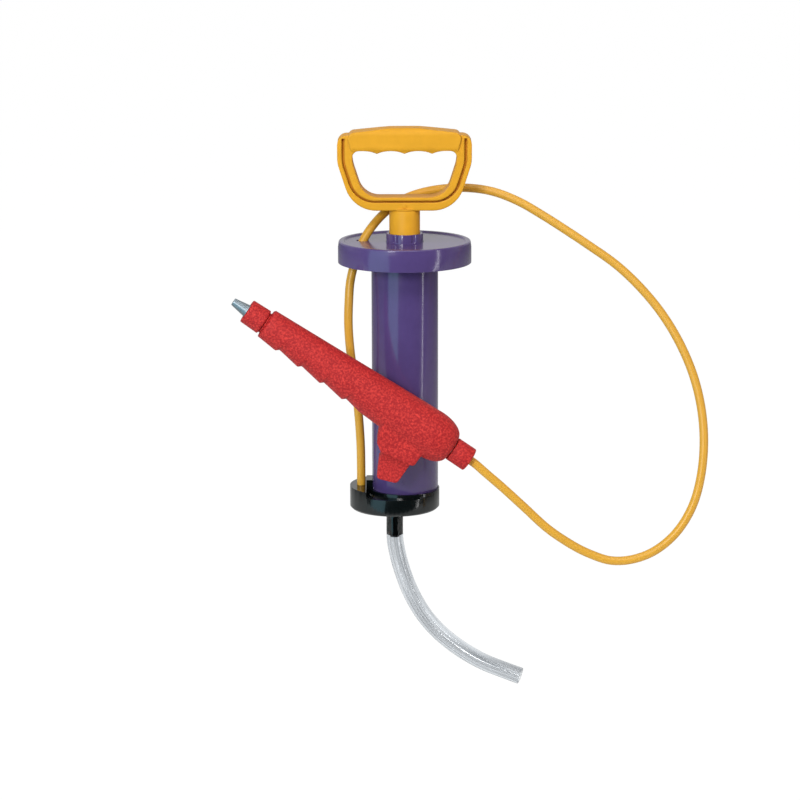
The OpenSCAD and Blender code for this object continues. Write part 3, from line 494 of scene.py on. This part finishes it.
class SQUIRTER_OT_stage(bpy.types.Operator):
    """Camera, lamps, floor and white background"""
    bl_idname = "squirter.stage"
    bl_label = "Stage"

    def execute(self, context):
        scene = context.scene
        scene.view_settings.view_transform = "Standard"
        self.camera(scene)
        self.floor(scene)
        self.world(scene)
        self.lamps(scene)
        return {"FINISHED"}

    def camera(self, scene):
        data = bpy.data.cameras.new("camera")
        data.lens, data.sensor_width = CAMERA_LENS, SENSOR_W
        camera = bpy.data.objects.new("camera", data)
        back = Vector((0, -math.cos(CAMERA_PITCH), math.sin(CAMERA_PITCH)))
        camera.location = CAMERA_FOCUS + CAMERA_DISTANCE * back
        tilt = Matrix.Rotation(math.pi / 2 - CAMERA_PITCH, 3, "X")
        camera.rotation_euler = (tilt @ Matrix.Rotation(CAMERA_ROLL, 3, "Z")).to_euler()
        scene.collection.objects.link(camera)
        scene.camera = camera

    def floor(self, scene):
        """White to the eye and through clear plastic, with the part's shadow."""
        low = cad_low.z - FLOOR_DROP
        corners = [(-FLOOR_HALF, FLOOR_FRONT), (FLOOR_HALF, FLOOR_FRONT), (FLOOR_HALF, FLOOR_HALF),
                   (-FLOOR_HALF, FLOOR_HALF)]
        mesh = bpy.data.meshes.new("floor")
        mesh.from_pydata([(x, y, low) for x, y in corners], [], [(0, 1, 2, 3)])
        floor = bpy.data.objects.new("floor", mesh)
        scene.collection.objects.link(floor)
        material, tree = new_material("painted_floor")
        seen = add(tree, "ShaderNodeLightPath")
        paint = add(tree, "ShaderNodeBsdfDiffuse", {"Color": scene.squirter_colours.floor[:]})
        glow = add(tree, "ShaderNodeEmission", {"Strength": FLOOR_GLOW})
        direct = add(tree, "ShaderNodeMath", {
            0: seen.outputs["Is Camera Ray"], 1: seen.outputs["Is Transmission Ray"]}, operation="MAXIMUM")
        share = add(tree, "ShaderNodeMath", {0: direct.outputs[0], 1: GLOW_SHARE}, operation="MULTIPLY")
        close(tree, add(tree, "ShaderNodeMixShader", {
            0: share.outputs[0], 1: paint.outputs[0], 2: glow.outputs[0]}))
        mesh.materials.append(material)

    def world(self, scene):
        """White to the eye and through clear plastic; to gloss, a dark room in front of a white sweep."""
        world = bpy.data.worlds.new("studio")
        scene.world = world
        world.use_nodes = True
        tree = world.node_tree
        tree.nodes.clear()
        seen = add(tree, "ShaderNodeLightPath")
        way = add(tree, "ShaderNodeTexCoord")
        axes = add(tree, "ShaderNodeSeparateXYZ", {"Vector": way.outputs["Generated"]})
        sweep, through = [
            add(tree, "ShaderNodeMapRange", {
                "Value": axes.outputs["Y"], "From Min": SWEEP_Y[0], "From Max": SWEEP_Y[1],
                "To Min": levels[0], "To Max": levels[1]})
            for levels in (GLOSS_LEVELS, CLEAR_LEVELS)]
        gloss = add(tree, "ShaderNodeMix", {
            0: seen.outputs["Is Glossy Ray"], 2: FILL_LEVEL, 3: sweep.outputs["Result"]})
        clear = add(tree, "ShaderNodeMix", {
            0: seen.outputs["Is Transmission Ray"], 2: gloss.outputs[0], 3: through.outputs["Result"]})
        level = add(tree, "ShaderNodeMix", {0: seen.outputs["Is Camera Ray"], 2: clear.outputs[0], 3: 1.0})
        back = add(tree, "ShaderNodeBackground", {"Color": (1, 1, 1, 1), "Strength": level.outputs[0]})
        add(tree, "ShaderNodeOutputWorld", {"Surface": back.outputs[0]})

    def lamps(self, scene):
        for name, (place, size, power, tint) in LAMPS.items():
            data = bpy.data.lights.new(name, "AREA")
            data.shape = "RECTANGLE"
            data.size, data.size_y = size
            data.energy, data.color = power, tint
            lamp = bpy.data.objects.new(name, data)
            lamp.location = place
            lamp.rotation_euler = (-Vector(place)).to_track_quat("-Z", "Y").to_euler()
            scene.collection.objects.link(lamp)
        scene.objects["tube_glint"].light_linking.receiver_collection = glint_pieces()


class SQUIRTER_OT_cords(bpy.types.Operator):
    """Delivery hose and clear suction tube"""
    bl_idname = "squirter.cords"
    bl_label = "Cords"

    def execute(self, context):
        sizes, colours = settings()
        self.hose(sizes, colours)
        self.suction(sizes, colours)
        return {"FINISHED"}

    def hose(self, sizes, colours):
        lance_end = [LANCE_NOSE + u * LANCE_AXIS for u in (HOSE_ENTRY_U, HOSE_END_U)]
        path = smooth_route([*UPPER_ROUTE, *LOWER_ROUTE, *lance_end])
        hose = tube("delivery_hose", path, sizes.hose_d / 2, HOSE_SIDES)
        hose.data.materials.append(soft_pvc("soft_pvc_extruded", colours.hose))
        self.bend(hose, path)
        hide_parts("hose_upper", "hose_lower")

    def bend(self, hose, path):
        """Sets each ring on its point of the route, bakes the hose's place into its mesh, and puts each ring
        back where it was.
        """
        skin = [vertex.co.copy() for vertex in hose.data.vertices]
        for i, vertex in enumerate(hose.data.vertices):
            vertex.co = path[i // HOSE_SIDES]
        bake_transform(hose)
        for vertex, place in zip(hose.data.vertices, skin):
            vertex.co = place

    def suction(self, sizes, colours):
        path = smooth_route(SUCTION_ROUTE)
        suction = tube("clear_suction_tube", path, sizes.tube_d / 2, SUCTION_SIDES, sizes.tube_bore_d / 2)
        suction.data.materials.append(clear_pvc("clear_pvc_extruded", colours.clear, 1.5 * MM))
        suction.data.materials.append(clear_pvc("wet_bore_of_clear_pvc", colours.bore, 1.2 * MM))
        suction.data.materials.append(cut_pvc("clear_pvc_cut_end", colours.clear))
        spans = len(path) - 1
        bands = [*[WALL] * spans, CUT, *[BORE] * spans, CUT]
        for i, face in enumerate(suction.data.polygons):
            face.material_index = bands[i // SUCTION_SIDES]
        glint_pieces().objects.link(suction)
        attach(suction, "pump")
        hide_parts("suction_tube")


class SQUIRTER_OT_pump(bpy.types.Operator):
    """Barrel, cap, rod guide and base"""
    bl_idname = "squirter.pump"
    bl_label = "Pump"

    def execute(self, context):
        sizes, colours = settings()
        violet = moulded_abs("gloss_abs_violet", colours.violet, 0.16)
        dress(["barrel", "top_cap", "rod_guide"], violet, sizes.edge_r)
        black = moulded_abs("gloss_abs_black", colours.black, 0.16)
        dress(["base", "inlet_spigot"], black, sizes.base_r)
        self.taper(sizes, wetted_abs("abs_black_wetted_by_pvc", colours.black))
        return {"FINISHED"}

    def taper(self, sizes, black):
        """The part of the spigot that the suction tube is stretched over, with a rounded end."""
        bore = sizes.tube_bore_d / 2 / MM
        profile = [(bore - 0.6, 0), (bore + 0.4, 0), (bore + 0.2, TAPER_L - 1.6), (bore, TAPER_L - 0.8),
                   (bore - 0.7, TAPER_L - 0.2), (bore - 1.6, TAPER_L)]
        taper = lathe("spigot_taper", profile, TAPER_ROOT, (0, 0, -1))
        taper.data.shade_smooth()
        taper.data.materials.append(black)
        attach(taper, "pump")


class SQUIRTER_OT_plunger(bpy.types.Operator):
    """Handle and rod"""
    bl_idname = "squirter.plunger"
    bl_label = "Plunger"

    def execute(self, context):
        sizes, colours = settings()
        amber = moulded_abs(
            "moulded_polypropylene_amber", colours.amber, 0.45, colours.amber_recess_shade, sizes.grip_r, 0.15)
        dress(["handle", "plunger_rod"], amber, sizes.edge_r)
        return {"FINISHED"}


class SQUIRTER_OT_lance(bpy.types.Operator):
    """Lance body, nuts, trigger and metal tip"""
    bl_idname = "squirter.lance"
    bl_label = "Lance"

    def execute(self, context):
        sizes, colours = settings()
        red = textured_abs("textured_abs_red", colours.red, colours.red_grain_sheen, sizes.grain, sizes.soft_r)
        dress(["gun_shell_near", "gun_shell_far", "water_tube", "nozzle_nut", "trigger", "hose_nut"],
              red, sizes.edge_r)
        self.collar(red)
        dress(["nozzle_tip"], turned_metal("turned_aluminium", colours.tip, 0.42, 0.4 * MM), 0.3 * MM)
        return {"FINISHED"}

    def collar(self, red):
        """Rounded collar that the nozzle nut tightens against."""
        front, back = COLLAR_U
        inside, edge = COLLAR_R - 2.5, 0.6
        profile = [(inside, front), (COLLAR_R - edge, front), (COLLAR_R, front + edge), (COLLAR_R, back),
                   (inside, back)]
        collar = lathe("nose_collar", profile, LANCE_NOSE, LANCE_AXIS)
        collar.data.materials.append(red)
        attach(collar, "gun")


class SQUIRTER_OT_inner(bpy.types.Operator):
    """Valves, piston, seals, spring and screws inside"""
    bl_idname = "squirter.inner"
    bl_label = "Inner pieces"

    def execute(self, context):
        colours = settings()[1]
        dress(["valve_plate", "intake_ball", "outlet_ball", "outlet_retainer", "piston_head",
               "piston_follower", "valve_body", "valve_spool", "inlet_tail"],
              moulded_abs("moulded_acetal", colours.acetal, 0.4))
        dress(["barrel_seal", "piston_cup", "nozzle_washer", "spool_seals"],
              moulded_abs("moulded_nitrile_rubber", colours.seal, 0.6))
        steel = turned_metal("drawn_zinc_plated_steel", colours.steel, 0.3, 0.3 * MM)
        dress(["gun_screws", "piston_screw"], steel)
        self.spring(steel)
        return {"FINISHED"}

    def spring(self, steel):
        """Return spring of the trigger, coiled below the lance's axis on the lance's body."""
        low, high = SPRING_V
        foot = LANCE_NOSE + SPRING_U * LANCE_AXIS
        steps = STEPS_PER_TURN * SPRING_TURNS
        path = []
        for i in range(steps + 1):
            turn = 2 * math.pi * SPRING_TURNS * i / steps
            outward = math.cos(turn) * LANCE_AXIS + math.sin(turn) * ACROSS
            path.append((foot + SPRING_R * outward + (low + (high - low) * i / steps) * LANCE_UP) * MM)
        spring = tube("return_spring", path, SPRING_WIRE_R * MM, SPRING_SIDES, across=LANCE_UP)
        spring.data.materials.append(steel)
        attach(spring, "gun")
        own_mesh(spring)
        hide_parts("trigger_spring")


class SQUIRTER_PT_panel(bpy.types.Panel):
    bl_label = "Water squirter"
    bl_space_type = "VIEW_3D"
    bl_region_type = "UI"
    bl_category = "Squirter"

    def draw(self, context):
        for group in (context.scene.squirter_sizes, context.scene.squirter_colours):
            for key in type(group).__annotations__:
                self.layout.prop(group, key)
        for operator in OPERATORS:
            self.layout.operator(operator.bl_idname)


OPERATORS = (
    SQUIRTER_OT_stage, SQUIRTER_OT_cords, SQUIRTER_OT_pump, SQUIRTER_OT_plunger, SQUIRTER_OT_lance,
    SQUIRTER_OT_inner,
)
CLASSES = (SquirterColours, SquirterSizes, *OPERATORS, SQUIRTER_PT_panel)


def register():
    for cls in CLASSES:
        bpy.utils.register_class(cls)
    bpy.types.Scene.squirter_sizes = bpy.props.PointerProperty(type=SquirterSizes)
    bpy.types.Scene.squirter_colours = bpy.props.PointerProperty(type=SquirterColours)


def unregister():
    del bpy.types.Scene.squirter_colours
    del bpy.types.Scene.squirter_sizes
    for cls in reversed(CLASSES):
        bpy.utils.unregister_class(cls)


def main():
    register()
    for operator in OPERATORS:
        group, name = operator.bl_idname.split(".")
        getattr(getattr(bpy.ops, group), name)()


if __name__ == "__main__":
    main()
